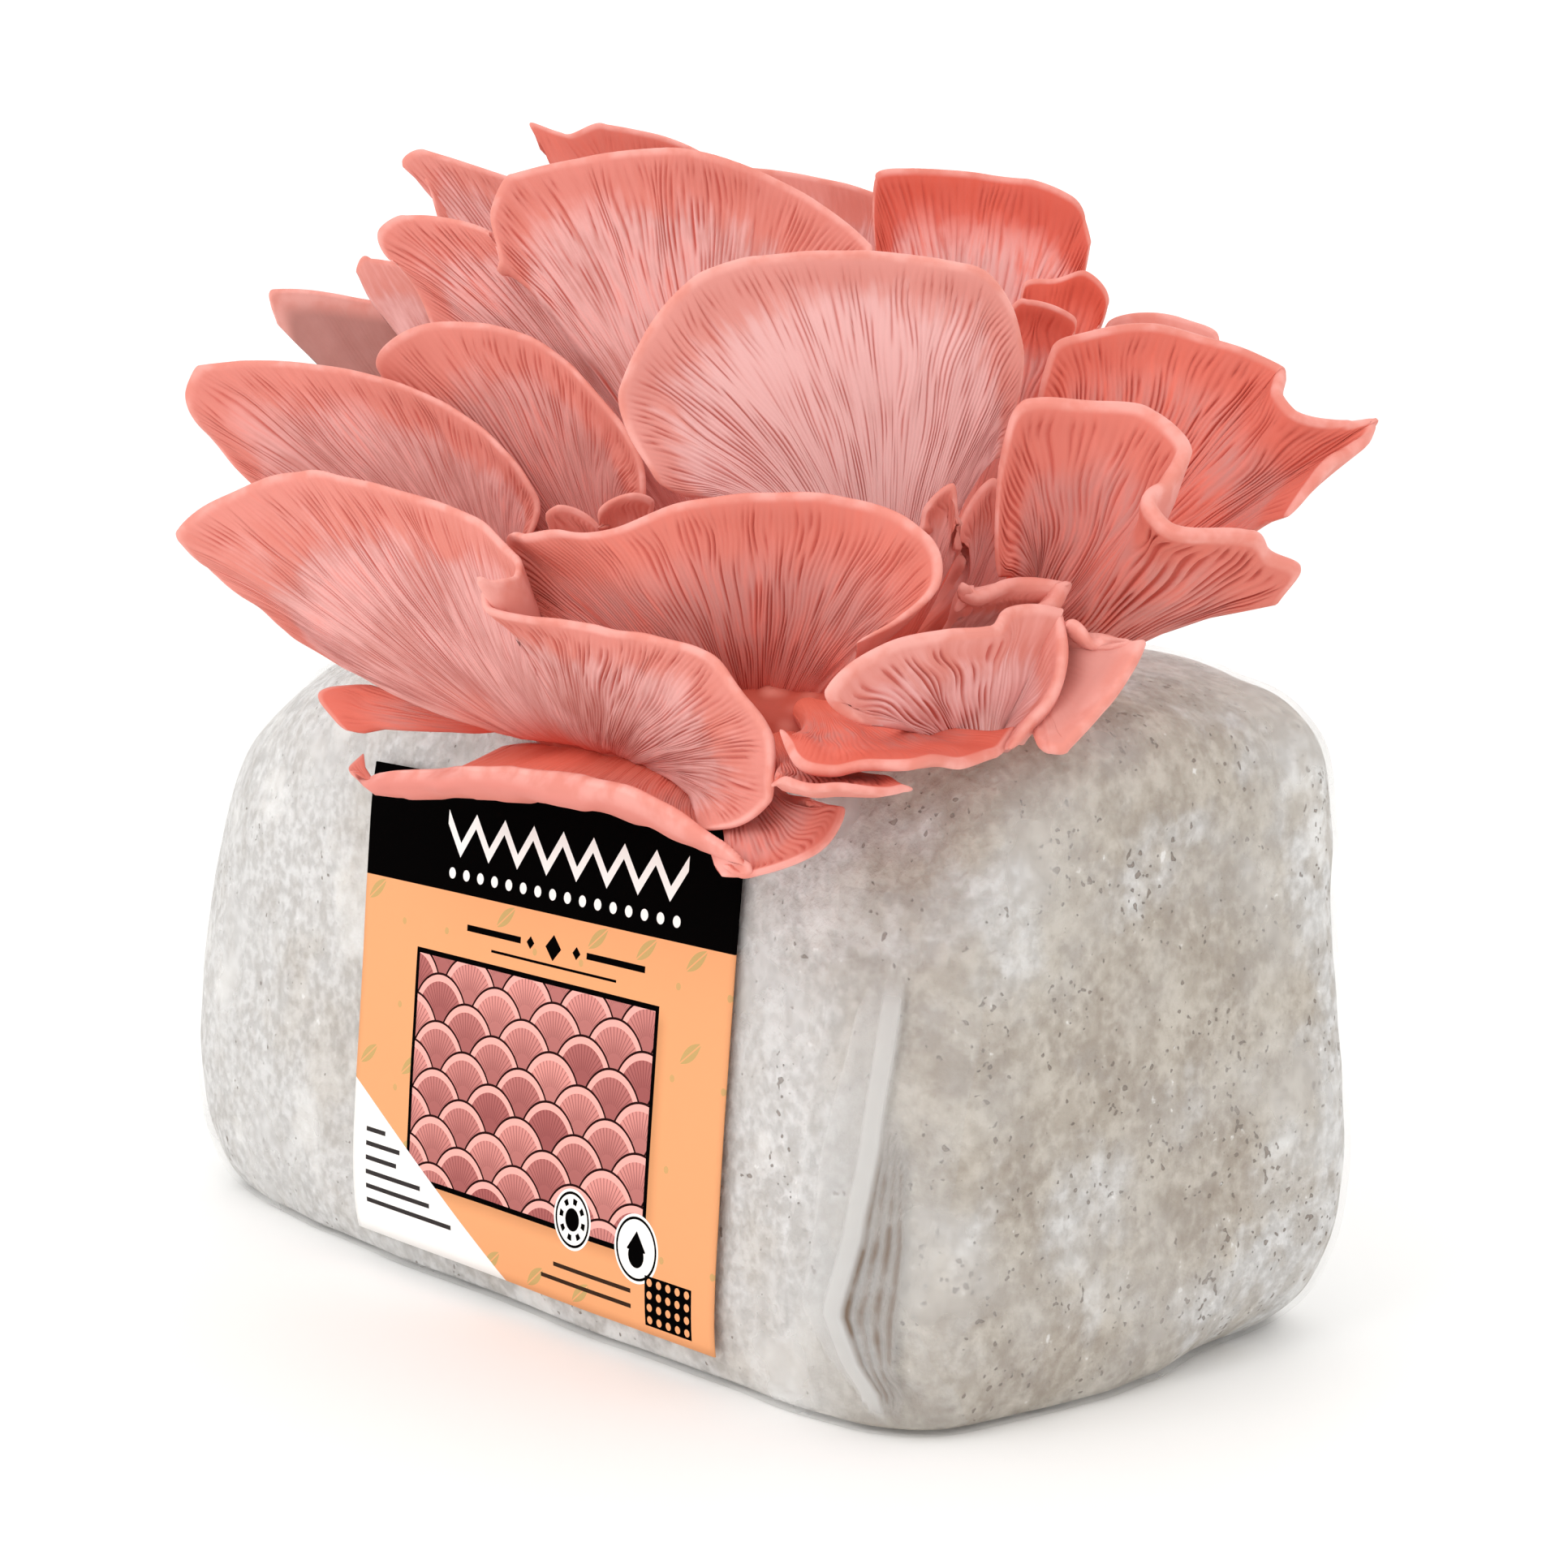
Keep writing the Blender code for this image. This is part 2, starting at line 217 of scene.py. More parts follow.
# Growing block: moist sawdust and grain held together by white mycelium, pressed in its bag
# to a rounded cushion. It shows through the film, whiter at the label and browner at the end.
BAG_LENGTH = 256 * MM
BAG_WIDTH = 114 * MM
BAG_HEIGHT = 126 * MM
BAG_WAIST = 75 * MM
BAG_SAG = 8 * MM
BAG_POWER = 5.5
POWER_ALONG = 2.2
POWER_UP = -2.2
ROUNDEST_POWER = 2.5
LEAN = 1.6
LEAN_LEVEL = 37 * MM
LABEL_X = (-35 * MM, 77 * MM)
LABEL_Z = (6 * MM, 97 * MM)
FAR_CORNER_RISE = 9 * MM
BLOCK_CUTS = 60
BLOCK_INSET = 0.9 * MM


def bag_power(along, up):
    """Power of the bag's form at a place given as shares of its half length and height."""
    return max(ROUNDEST_POWER, BAG_POWER + POWER_ALONG * along + POWER_UP * up)


def rounded_form(cuts, power_at):
    """A cube of half size 1 with its edges and corners drawn in to a rounded cushion."""
    shape = bmesh.new()
    bmesh.ops.create_cube(shape, size=2)
    bmesh.ops.subdivide_edges(shape, edges=shape.edges, cuts=cuts, use_grid_fill=True)
    for vert in shape.verts:
        cube = [value * (1.3 - 0.3 * value**2) for value in vert.co]
        vert.co = cube
        for _ in range(8):
            power = power_at(vert.co.x, vert.co.z)
            size = sum(abs(value) ** power for value in cube) ** (1 / power)
            vert.co = [value / size for value in cube]
    return shape


def lean(z):
    """The front face stands out at its foot and leans back at its top."""
    return 1 + LEAN * (LEAN_LEVEL - z)


def ease(value, low, high):
    share = min(1.0, max(0.0, (value - low) / (high - low)))
    return share * share * (3 - 2 * share)


def swell(place):
    """How far the wrapped block stands out of its even form; it lies calm under the label."""
    on_label = (ease(place.x, LABEL_X[0] - 14 * MM, LABEL_X[0])
                * (1 - ease(place.x, LABEL_X[1], LABEL_X[1] + 10 * MM))
                * ease(place.z, -4 * MM, LABEL_Z[0]) * (place.y < 0))
    broad = 1.5 * noise.noise(place / (36 * MM))
    small = 0.55 * noise.noise(place / (12 * MM) + Vector((7, 3, 5)))
    return (broad + small) * MM * (1 - 0.85 * on_label)


def wrapped_form(cuts, inset):
    """The cushion of block and bag, uneven all over and cut flat underneath."""
    shape = rounded_form(cuts, bag_power)
    for vert in shape.verts:
        vert.co.x *= BAG_LENGTH / 2 - inset
        vert.co.z = BAG_WAIST + vert.co.z * (
            BAG_HEIGHT - BAG_WAIST - inset if vert.co.z > 0 else BAG_WAIST + BAG_SAG - inset)
        vert.co.y *= (BAG_WIDTH / 2 - inset) * (lean(vert.co.z) if vert.co.y < 0 else 1)
    shape.normal_update()
    for vert in shape.verts:
        vert.co += vert.normal * swell(vert.co)
        vert.co.z += (FAR_CORNER_RISE * ease(vert.co.x, 95 * MM, 126 * MM)
                      * ease(vert.co.y, -15 * MM, 50 * MM) * (1 - ease(vert.co.z, 0, 45 * MM)))
    everything = shape.verts[:] + shape.edges[:] + shape.faces[:]
    bmesh.ops.bisect_plane(shape, geom=everything, plane_co=(0, 0, inset), plane_no=(0, 0, -1),
                           clear_outer=True, dist=0.00001)
    rim = [edge for edge in shape.edges if edge.is_boundary]
    bmesh.ops.holes_fill(shape, edges=rim, sides=0)
    return shape


def add_piece(name, shape, finish, slot, *nodes):
    """Turns a finished shape into the piece that stands for these nodes of the model."""
    mesh = bpy.data.meshes.new(name)
    shape.to_mesh(mesh)
    shape.free()
    mesh.shade_smooth()
    mesh.materials.append(finish.material)
    piece = bpy.data.objects.new(name, mesh)
    bpy.context.collection.objects.link(piece)
    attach(piece, "root")
    if nodes:
        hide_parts(*nodes)
    return piece


def sheet(across, up, parts, place, thickness, **marks):
    """A thin closed sheet; place(u, z, lift) gives the points of its two faces, and each
    mark(u, z) a value that its finish reads."""
    shape = bmesh.new()
    bmesh.ops.create_grid(shape, x_segments=parts[0], y_segments=parts[1], size=1)
    layers = {shape.verts.layers.float.new(mark): value for mark, value in marks.items()}
    result = bmesh.ops.extrude_face_region(shape, geom=shape.faces[:])
    outer = {item for item in result["geom"] if isinstance(item, bmesh.types.BMVert)}
    for vert in shape.verts:
        u = across[0] + (across[1] - across[0]) * (vert.co.x + 1) / 2
        z = up[0] + (up[1] - up[0]) * (vert.co.y + 1) / 2
        vert.co = place(u, z, thickness if vert in outer else 0.0)
        for layer, value in layers.items():
            vert[layer] = value(u, z)
    bmesh.ops.recalc_face_normals(shape, faces=shape.faces)
    return shape


mycelium = Finish("white mycelium", roughness=0.85)
along, across, height = mycelium.axes()
far_end = mycelium.ease(along, 92, 120)
blotches = mycelium.grain(30, detail=6)
smudges = mycelium.grain(9, detail=5, seed=3)
crumbs = mycelium.grain(2.2, detail=4, seed=9)
level = (blotches + smudges * 0.35 + far_end * (0.17 - 0.14 * mycelium.ease(across, 0, 45))
         + 0.10 * mycelium.ease(height, 100, 122))
brown = mycelium.ease(level, 0.66, 0.86)
white = mycelium.mix(mycelium.ease(crumbs, 0.35, 0.65), colour("BDBBB9"), colour("D9D8D7"))
fluff = mycelium.ease(mycelium.grain(15, detail=5, seed=21), 0.52, 0.64)
white = mycelium.mix(fluff * 0.8, white, colour("E8E7E5"))
tan = mycelium.mix(mycelium.ease(smudges + crumbs * 0.6, 0.6, 1.0), colour("8C7C69"),
                   colour("BCB2A3"))
body = mycelium.mix(brown * (0.38 + 0.46 * far_end), white, tan)
threads = abs(mycelium.grain(18, detail=4, seed=40) - 0.5)
body = mycelium.mix((1 - mycelium.ease(threads, 0.004, 0.02)) * 0.12 * far_end, body,
                    colour("7C6753"))
mottle = mycelium.ease(mycelium.grain(5, detail=5, seed=55), 0.42, 0.66)
body = mycelium.mix(mottle * (0.20 + 0.30 * far_end), body, colour("908271"))
grit = mycelium.grain(1.5, detail=1, seed=30)
gathered = mycelium.grain(13, detail=2, seed=33)
specks = mycelium.ease(grit + (gathered - 0.5) * 0.40 + far_end * 0.05, 0.75, 0.80)
body = mycelium.mix(specks * 0.75, body, colour("65513F"))
glints = mycelium.ease(crumbs + (gathered - 0.5) * 0.3, 0.70, 0.78)
body = mycelium.mix(glints * 0.7, body, colour("EFEEEC"))
mycelium.wear(Base_Color=body)
mycelium.bump(crumbs + blotches * 0.8 - specks * 0.4, 1.0)
add_piece("mycelium_block", wrapped_form(BLOCK_CUTS, BLOCK_INSET), mycelium, "mycelium_block",
          "substrate_block")


# Bag: clear film shrunk on the block. It is slit along the top front edge, where the cluster
# has pushed the slit open, and its lip stands up around the butt.
FILM_CUTS = 84
BASE_CENTRE = Vector((47, -16, 113)) * MM
BASE_HALF = Vector((56, 42, 15)) * MM
BASE_POWER = 2.5
LIP = 2.0 * MM


def base_share(place):
    """0 at the middle of the butt, 1 on its skin and more outside it."""
    shares = [(place[axis] - BASE_CENTRE[axis]) / BASE_HALF[axis] for axis in range(3)]
    return sum(abs(share) ** BASE_POWER for share in shares) ** (1 / BASE_POWER)


film = Finish("clear film", roughness=0.3)
crinkle = film.grain(7, detail=4, stretch=(1, 1, 0.45), seed=4)
haze = film.grain(28, detail=4, seed=12)
folds = film.grain(20, detail=3, stretch=(1, 1, 0.28), seed=15)
film.wear(Base_Color=colour("EDECEA"), Alpha=0.10 + 0.24 * film.ease(haze, 0.40, 0.70),
          Roughness=0.24 + 0.25 * crinkle)
film.bump(folds + 0.4 * crinkle, 1.8)
bag_shape = wrapped_form(FILM_CUTS, 0)
for vert in bag_shape.verts:
    vert.co += vert.normal * LIP * (1 - ease(base_share(vert.co), 1.0, 1.18))
inside_butt = [vert for vert in bag_shape.verts if base_share(vert.co) < 0.93]
bmesh.ops.delete(bag_shape, geom=inside_butt, context="VERTS")
add_piece("film_bag", bag_shape, film, "bag_film", "grow_bag")


# Corner fold: the film's surplus at the front corner, pressed to a flat flap whose edge runs
# down the corner, with a few tight pleats beside it that hold brown crumbs.
FOLD_Z = (2, 8, 12, 20, 33, 48, 62, 74, 86)
FOLD_X = (115, 114.4, 111, 107.2, 110.6, 112.7, 113.8, 114.3, 115)
FLAP_WIDTH = ((2, 10, 20, 46, 70, 80), (1, 6, 9, 12, 9, 4))
PLEATS = (1.2, 2.6, 4.0, 5.2)
PLEAT_SPREAD = ((2, 10, 20, 33, 48, 58), (0.3, 1.1, 2.1, 1.6, 0.9, 0.3))
FLAP_HEIGHT = 0.8
corner_lines = {}


def corner_line(z):
    """The bag's outline at this height from its front round to its end: points in
    millimetres and their distance along it from the fold."""
    if z not in corner_lines:
        up = (z * MM - BAG_WAIST) / (BAG_HEIGHT - BAG_WAIST if z * MM > BAG_WAIST
                                     else BAG_WAIST + BAG_SAG)
        outline = []
        for angle in np.linspace(0.45, 1.35, 400):
            along = out = 0.8
            for _ in range(8):
                power = bag_power(along, up)
                size = (abs(np.sin(angle)) ** power + abs(np.cos(angle)) ** power) ** (1 / power)
                reach = (1 - abs(up) ** power) ** (1 / power) / size
                along, out = np.sin(angle) * reach, np.cos(angle) * reach
            place = Vector((along * BAG_LENGTH / 2, -out * BAG_WIDTH / 2 * lean(z * MM), z * MM))
            outward = Vector((max(along, 0.0) ** (power - 1) / BAG_LENGTH,
                              -(out ** (power - 1)) / BAG_WIDTH, 0)).normalized()
            outline.append((*(place + outward * swell(place)) / MM, *outward))
        outline = np.array(outline)
        walked = np.concatenate([[0], np.cumsum(np.linalg.norm(
            np.diff(outline[:, :2], axis=0), axis=1))])
        at_fold = np.interp(np.interp(z, FOLD_Z, FOLD_X), outline[:, 0], walked)
        corner_lines[z] = outline, walked - at_fold
    return corner_lines[z]


def pleat(s, z):
    """Height of the pleats, in shares, at a distance from the fold."""
    spread = np.interp(z, *PLEAT_SPREAD)
    return sum(np.exp(-(((s / spread - centre) / 0.42) ** 2)) for centre in PLEATS) * (
        1 - ease(z, 48, 58)) * ease(z, 2, 6)


def flap(s, z):
    """Height of the flap, in shares: a step at its edge, then a rise up to the fold."""
    width = np.interp(z, *FLAP_WIDTH)
    return (0.35 * ease(s, -width, -width + 0.8) + 0.65 * ease(s, -width, 0)) * (
        1 - ease(s, 0, 0.6)) * ease(z, 2, 8) * (1 - ease(z, 70, 80))


def on_corner(s, z, lift):
    outline, walked = corner_line(z)
    x, y, _, side_x, side_y, _ = [np.interp(s, walked, outline[:, axis]) for axis in range(6)]
    inside = (ease(s, -16, -14) * (1 - ease(s, 11, 14)) * ease(z, 2, 4) * (1 - ease(z, 84, 90)))
    height = FLAP_HEIGHT * flap(s, z) + 0.6 * pleat(s, z) + 0.5 * inside - 0.45
    return Vector((x + side_x * height, y + side_y * height, z)) * MM + Vector(
        (side_x, side_y, 0)) * lift


def flap_share(s, z):
    """Where the flap lies double on the film, and so looks whiter."""
    width = np.interp(z, *FLAP_WIDTH)
    return (ease(s, -width - 0.2, -width + 0.6) * (1 - ease(s, 0, 0.5)) * ease(z, 2, 6)
            * (0.5 + 0.5 * ease(s, -4.0, -3.2))
            * (1 - ease(z, 70, 79)))


def stain_share(s, z):
    """Where brown crumbs show between the pleats."""
    end = 5.8 * np.interp(z, *PLEAT_SPREAD)
    return (ease(s, 0, 0.6) * (1 - ease(s, 0.8 * end, end)) * (1 - 0.7 * pleat(s, z))
            * ease(z, 3, 8) * (1 - ease(z, 46, 56)))


folded = Finish("folded film", roughness=0.25)
flap_part, stain = [folded.node("Attribute", {"attribute_name": mark}, output=2)
                    for mark in ("flap_part", "stain")]
stain = stain * (0.62 + 0.38 * folded.ease(folded.grain(5, detail=4, seed=6), 0.35, 0.6))
folded.wear(Base_Color=folded.mix(stain, colour("E2E1DF"), colour("735C47")),
            Alpha=0.06 + 0.40 * flap_part + 0.75 * stain)
add_piece("corner_fold", sheet((-16, 14), (2, 90), (70, 60), on_corner, 0.2 * MM,
                               flap_part=flap_share, stain=stain_share), folded, "bag_film")


# Label: coated paper stuck on the front face, printed with a black band, a framed pattern of
# pink scallops on apricot, a white corner with plain rules, and two round marks.
LABEL_LIFT = 0.9 * MM
LABEL_THICKNESS = 0.35 * MM


def front_depth(x, z):
    """Distance of the bag's front from its middle plane at a place on it."""
    along = x / (BAG_LENGTH / 2)
    up = (z - BAG_WAIST) / (BAG_HEIGHT - BAG_WAIST if z > BAG_WAIST else BAG_WAIST + BAG_SAG)
    power = bag_power(along, up)
    return BAG_WIDTH / 2 * (1 - abs(along) ** power - abs(up) ** power) ** (1 / power)


def on_front(x, z, lift):
    y = -front_depth(x, z) * lean(z)
    return Vector((x, y - swell(Vector((x, y, z))) - LABEL_LIFT - lift, z))


print_ = Finish("printed label", roughness=0.38)
label_x, _, label_z = print_.axes()
right = label_x + 35
up = label_z - 6
APRICOT = colour("ECA776")
INK = colour("060505")
PAPER = colour("F7F5F2")
OLIVE = colour("B9A46A")


def panel(left, end, low, top):
    return (right > left) * (right < end) * (up > low) * (up < top)


def disc(at, level, radius):
    return ((right - at) ** 2 + (up - level) ** 2) < radius**2


def cell(value, size):
    """Place within a repeat of this size, from 0 up to size, and the repeat's number."""
    count = print_.node("Math", {"operation": "FLOOR"}, {0: value / size})
    return value - count * size, count


# Leaves and dots scattered on the apricot.
leaf_u, leaf_column = cell(right + 3, 14)
leaf_v, leaf_row = cell(up + 5, 16)
chance = print_.node("TexWhiteNoise", {"noise_dimensions": "2D"}, {
    "Vector": print_.node("CombineXYZ", inputs={0: leaf_column, 1: leaf_row})})
slant_u = (leaf_u - 7) * 0.8 + (leaf_v - 8) * 0.6
slant_v = (leaf_v - 8) * 0.8 - (leaf_u - 7) * 0.6
leaf = (slant_u**2 * 0.10 + abs(slant_v) < 1.25) * (chance > 0.45)
vein = (abs(slant_v) < 0.14) * leaf
dots = (((leaf_u - 2.5) ** 2 + (leaf_v - 3) ** 2) < 0.45) * (chance < 0.75)
art = print_.mix(leaf * 0.8, APRICOT, OLIVE)
art = print_.mix(vein, art, APRICOT)
art = print_.mix(dots * 0.6, art, OLIVE)

# Frame with a soft shadow, and three rows of scallops at a time from the back to the front.
shadow = (print_.ease(right, 20, 24) * (1 - print_.ease(right, 92, 96))
          * print_.ease(up, 10, 14) * (1 - print_.ease(up, 54, 58)))
art = print_.mix(shadow * 0.35, art, colour("8A5A33"))
SCALLOP = 9.0
picture = print_.mix(0.0, colour("6D3F3E"), INK)
first_row = print_.node("Math", {"operation": "CEIL"}, {0: (up - SCALLOP) / (SCALLOP / 2)})
for step in (2, 1, 0):
    row = first_row + step
    odd = row - 2 * print_.node("Math", {"operation": "FLOOR"}, {0: row / 2})
    fan_u, fan_column = cell(right + SCALLOP * odd, 2 * SCALLOP)
    fan_v = up - row * (SCALLOP / 2)
    radius = (((fan_u - SCALLOP) ** 2 + fan_v**2)) ** 0.5
    turn = print_.node("Math", {"operation": "ARCTAN2"}, {0: fan_u - SCALLOP, 1: fan_v})
    shade = print_.node("TexWhiteNoise", {"noise_dimensions": "2D"}, {
        "Vector": print_.node("CombineXYZ", inputs={0: fan_column, 1: row})})
    fan = print_.mix(shade, colour("E39A92"), colour("A8605E"))
    fan = print_.mix(print_.ease(radius, 7.5, 1.5) * 0.5, fan, colour("8C4B4B"))
    ribs = print_.node("Math", {"operation": "SINE"}, {0: turn * 44})
    fan = print_.mix((ribs > 0.72) * (radius > 2.6) * 0.55, fan, colour("6B3535"))
    fan = print_.mix(radius > 7.3, fan, colour("F0AFA6"))
    fan = print_.mix(radius > 8.55, fan, colour("2A1414"))
    picture = print_.mix(radius < SCALLOP, picture, fan)
art = print_.mix(panel(18.3, 92.7, 13.2, 57.8), art, INK)
art = print_.mix(panel(19.3, 91.7, 14.2, 56.8), art, picture)

# Black band with a zigzag between rows of dots, and a title ornament under it.
art = print_.mix(up > 69.5, art, INK)
zig, _ = cell(right - 26, 9)
zigzag = (abs(up - 77.5 - abs(zig - 4.5) * 1.3) < 1.35) * (right > 26) * (right < 98)
bead, _ = cell(right - 26, 4.5)
beads = (((bead - 2.25) ** 2 + (up - 73) ** 2) < 1.1) * (right > 26) * (right < 98)
art = print_.mix(zigzag + beads, art, PAPER)
lozenge = (abs(right - 61) + abs(up - 63.5) < 2.4) + (abs(right - 54) + abs(up - 63.5) < 1.2) \
    + (abs(right - 68) + abs(up - 63.5) < 1.2)
title = panel(34, 51, 62.9, 64.1) + panel(71, 88, 62.9, 64.1) + panel(42, 80, 60.0, 60.5)
art = print_.mix(lozenge + title, art, INK)

# White corner with plain rules, round marks of a sun and a drop, and a panel of dots.
corner = up < 29.8 - 0.594 * right
art = print_.mix(corner, art, PAPER)
rules = 0.0
for level, end in ((20.0, 11), (17.2, 16), (14.4, 15), (11.6, 23), (8.8, 26), (6.0, 33)):
    rules = rules + panel(4.5, end, level, level + 0.9)
art = print_.mix(rules, art, colour("3A3636"))
for at, level, size in ((71.6, 16.0, 5.6), (90.4, 14.6, 6.2)):
    art = print_.mix(disc(at, level, size), art, PAPER)
    art = print_.mix(disc(at, level, size - 0.5), art, INK)
    art = print_.mix(disc(at, level, size - 1.0), art, PAPER)
art = print_.mix(disc(71.6, 16.0, 2.1), art, INK)
ray = print_.node("Math", {"operation": "SINE"}, {
    0: print_.node("Math", {"operation": "ARCTAN2"}, {0: right - 71.6, 1: up - 16.0}) * 8})
rays = disc(71.6, 16.0, 3.9) * (1 - disc(71.6, 16.0, 2.8)) * (ray > 0.2)
art = print_.mix(rays, art, INK)
drop = disc(90.4, 13.4, 2.2) + (abs(right - 90.4) * 1.3 + abs(up - 14.4) < 3.4) * (up > 14.2)
art = print_.mix(drop, art, INK)
art = print_.mix(panel(93, 106, 1.5, 10.5), art, INK)
peg_u, _ = cell(right - 93, 2.6)
peg_v, _ = cell(up - 1.5, 2.25)
pegs = (((peg_u - 1.3) ** 2 + (peg_v - 1.12) ** 2) < 0.5) * panel(93, 106, 1.5, 10.5)
art = print_.mix(pegs, art, APRICOT)
art = print_.mix(panel(66, 89, 6.4, 7.2) + panel(62, 89, 3.6, 4.4), art, colour("3A2A20"))
print_.wear(Base_Color=art, Specular_IOR_Level=0.0)
print_.bump(print_.grain(1.2, detail=2), 0.03)
add_piece("printed_label", sheet(LABEL_X, LABEL_Z, (60, 48), on_front, LABEL_THICKNESS), print_,
          "label_paper", "label")


# Breathing patch: white fleece welded over a hole in the film on the hidden long face.
PATCH_X = (-30 * MM, 30 * MM)
PATCH_Z = (42 * MM, 82 * MM)


def on_back(x, z, lift):
    y = front_depth(x, z)
    return Vector((x, y + swell(Vector((x, y, z))) + LABEL_LIFT + lift, z))


fleece = Finish("white fleece", roughness=0.95)
fleece_x, _, fleece_z = fleece.axes()
edge = fleece.node("Math", {"operation": "MAXIMUM"}, {
    0: abs(fleece_x) / 30, 1: abs(fleece_z - 62) / 20})
weld = fleece.ease(edge, 0.80, 0.84)
knurl = fleece.node("Math", {"operation": "SINE"}, {0: (fleece_x + fleece_z) * 3.2}) \
    * fleece.node("Math", {"operation": "SINE"}, {0: (fleece_x - fleece_z) * 3.2})
fibres = fleece.grain(0.8, detail=4, stretch=(1, 1, 0.4))
fleece.wear(Base_Color=fleece.mix(fleece.ease(fibres, 0.3, 0.7), colour("DADAD6"),
                                  colour("F6F6F4")))
fleece.bump(fibres * (1 - weld) + weld * knurl * 0.5, 0.35)
add_piece("fleece_patch", sheet(PATCH_X, PATCH_Z, (40, 28), on_back, LABEL_THICKNESS), fleece,
          "filter_fleece", "filter_patch")


# Tape: a strip of clear tape that holds the folded end of the bag down.
TAPE_Y = (-12 * MM, 12 * MM)
TAPE_Z = (20 * MM, 100 * MM)


def on_end(y, z, lift):
    across = y / (BAG_WIDTH / 2)
    up = (z - BAG_WAIST) / (BAG_HEIGHT - BAG_WAIST if z > BAG_WAIST else BAG_WAIST + BAG_SAG)
    along = 1
    for _ in range(12):
        power = bag_power(-along, up)
        along = (1 - abs(across) ** power - abs(up) ** power) ** (1 / power)
    x = -BAG_LENGTH / 2 * along
    return Vector((x - swell(Vector((x, y, z))) - LABEL_LIFT - lift, y, z))


tape = Finish("clear tape", roughness=0.15)
tape.wear(Base_Color=colour("DEDBD0"), Alpha=0.3)
tape.bump(tape.grain(5, detail=2, stretch=(1, 1, 0.3)), 0.15)
add_piece("end_tape", sheet(TAPE_Y, TAPE_Z, (16, 40), on_end, LABEL_THICKNESS), tape,
          "clear_tape", "tape_strip")


# Butt: the pale knobbly mass in the slit that all the stems have fused into.
BUTT_CUTS = 30
flesh_butt = Finish("knobbly butt", roughness=0.7)
knobs = flesh_butt.node("TexVoronoi", {"feature": "SMOOTH_F1"}, {
    "Vector": flesh_butt.place(), "Scale": 1 / (5 * MM), "Smoothness": 0.4})
stains = flesh_butt.grain(14, detail=3)
# Painted shade: the flesh is darker in the hollows between the knobs.
flesh_butt.wear(Base_Color=flesh_butt.mix(flesh_butt.ease(knobs, 0.15, 0.6), colour("E08474"),
                                          colour("C45543")))
flesh_butt.bump(stains - knobs, 1.6)
butt_shape = rounded_form(BUTT_CUTS, lambda along, up: BASE_POWER)
for vert in butt_shape.verts:
    vert.co = Vector([BASE_CENTRE[axis] + vert.co[axis] * BASE_HALF[axis] for axis in range(3)])
butt_shape.normal_update()
for vert in butt_shape.verts:
    vert.co += vert.normal * MM * (2.0 * noise.noise(vert.co / (11 * MM))
                                   + 0.8 * noise.noise(vert.co / (4 * MM)))
add_piece("stem_butt", butt_shape, flesh_butt, "mushroom_base", "cluster_base")
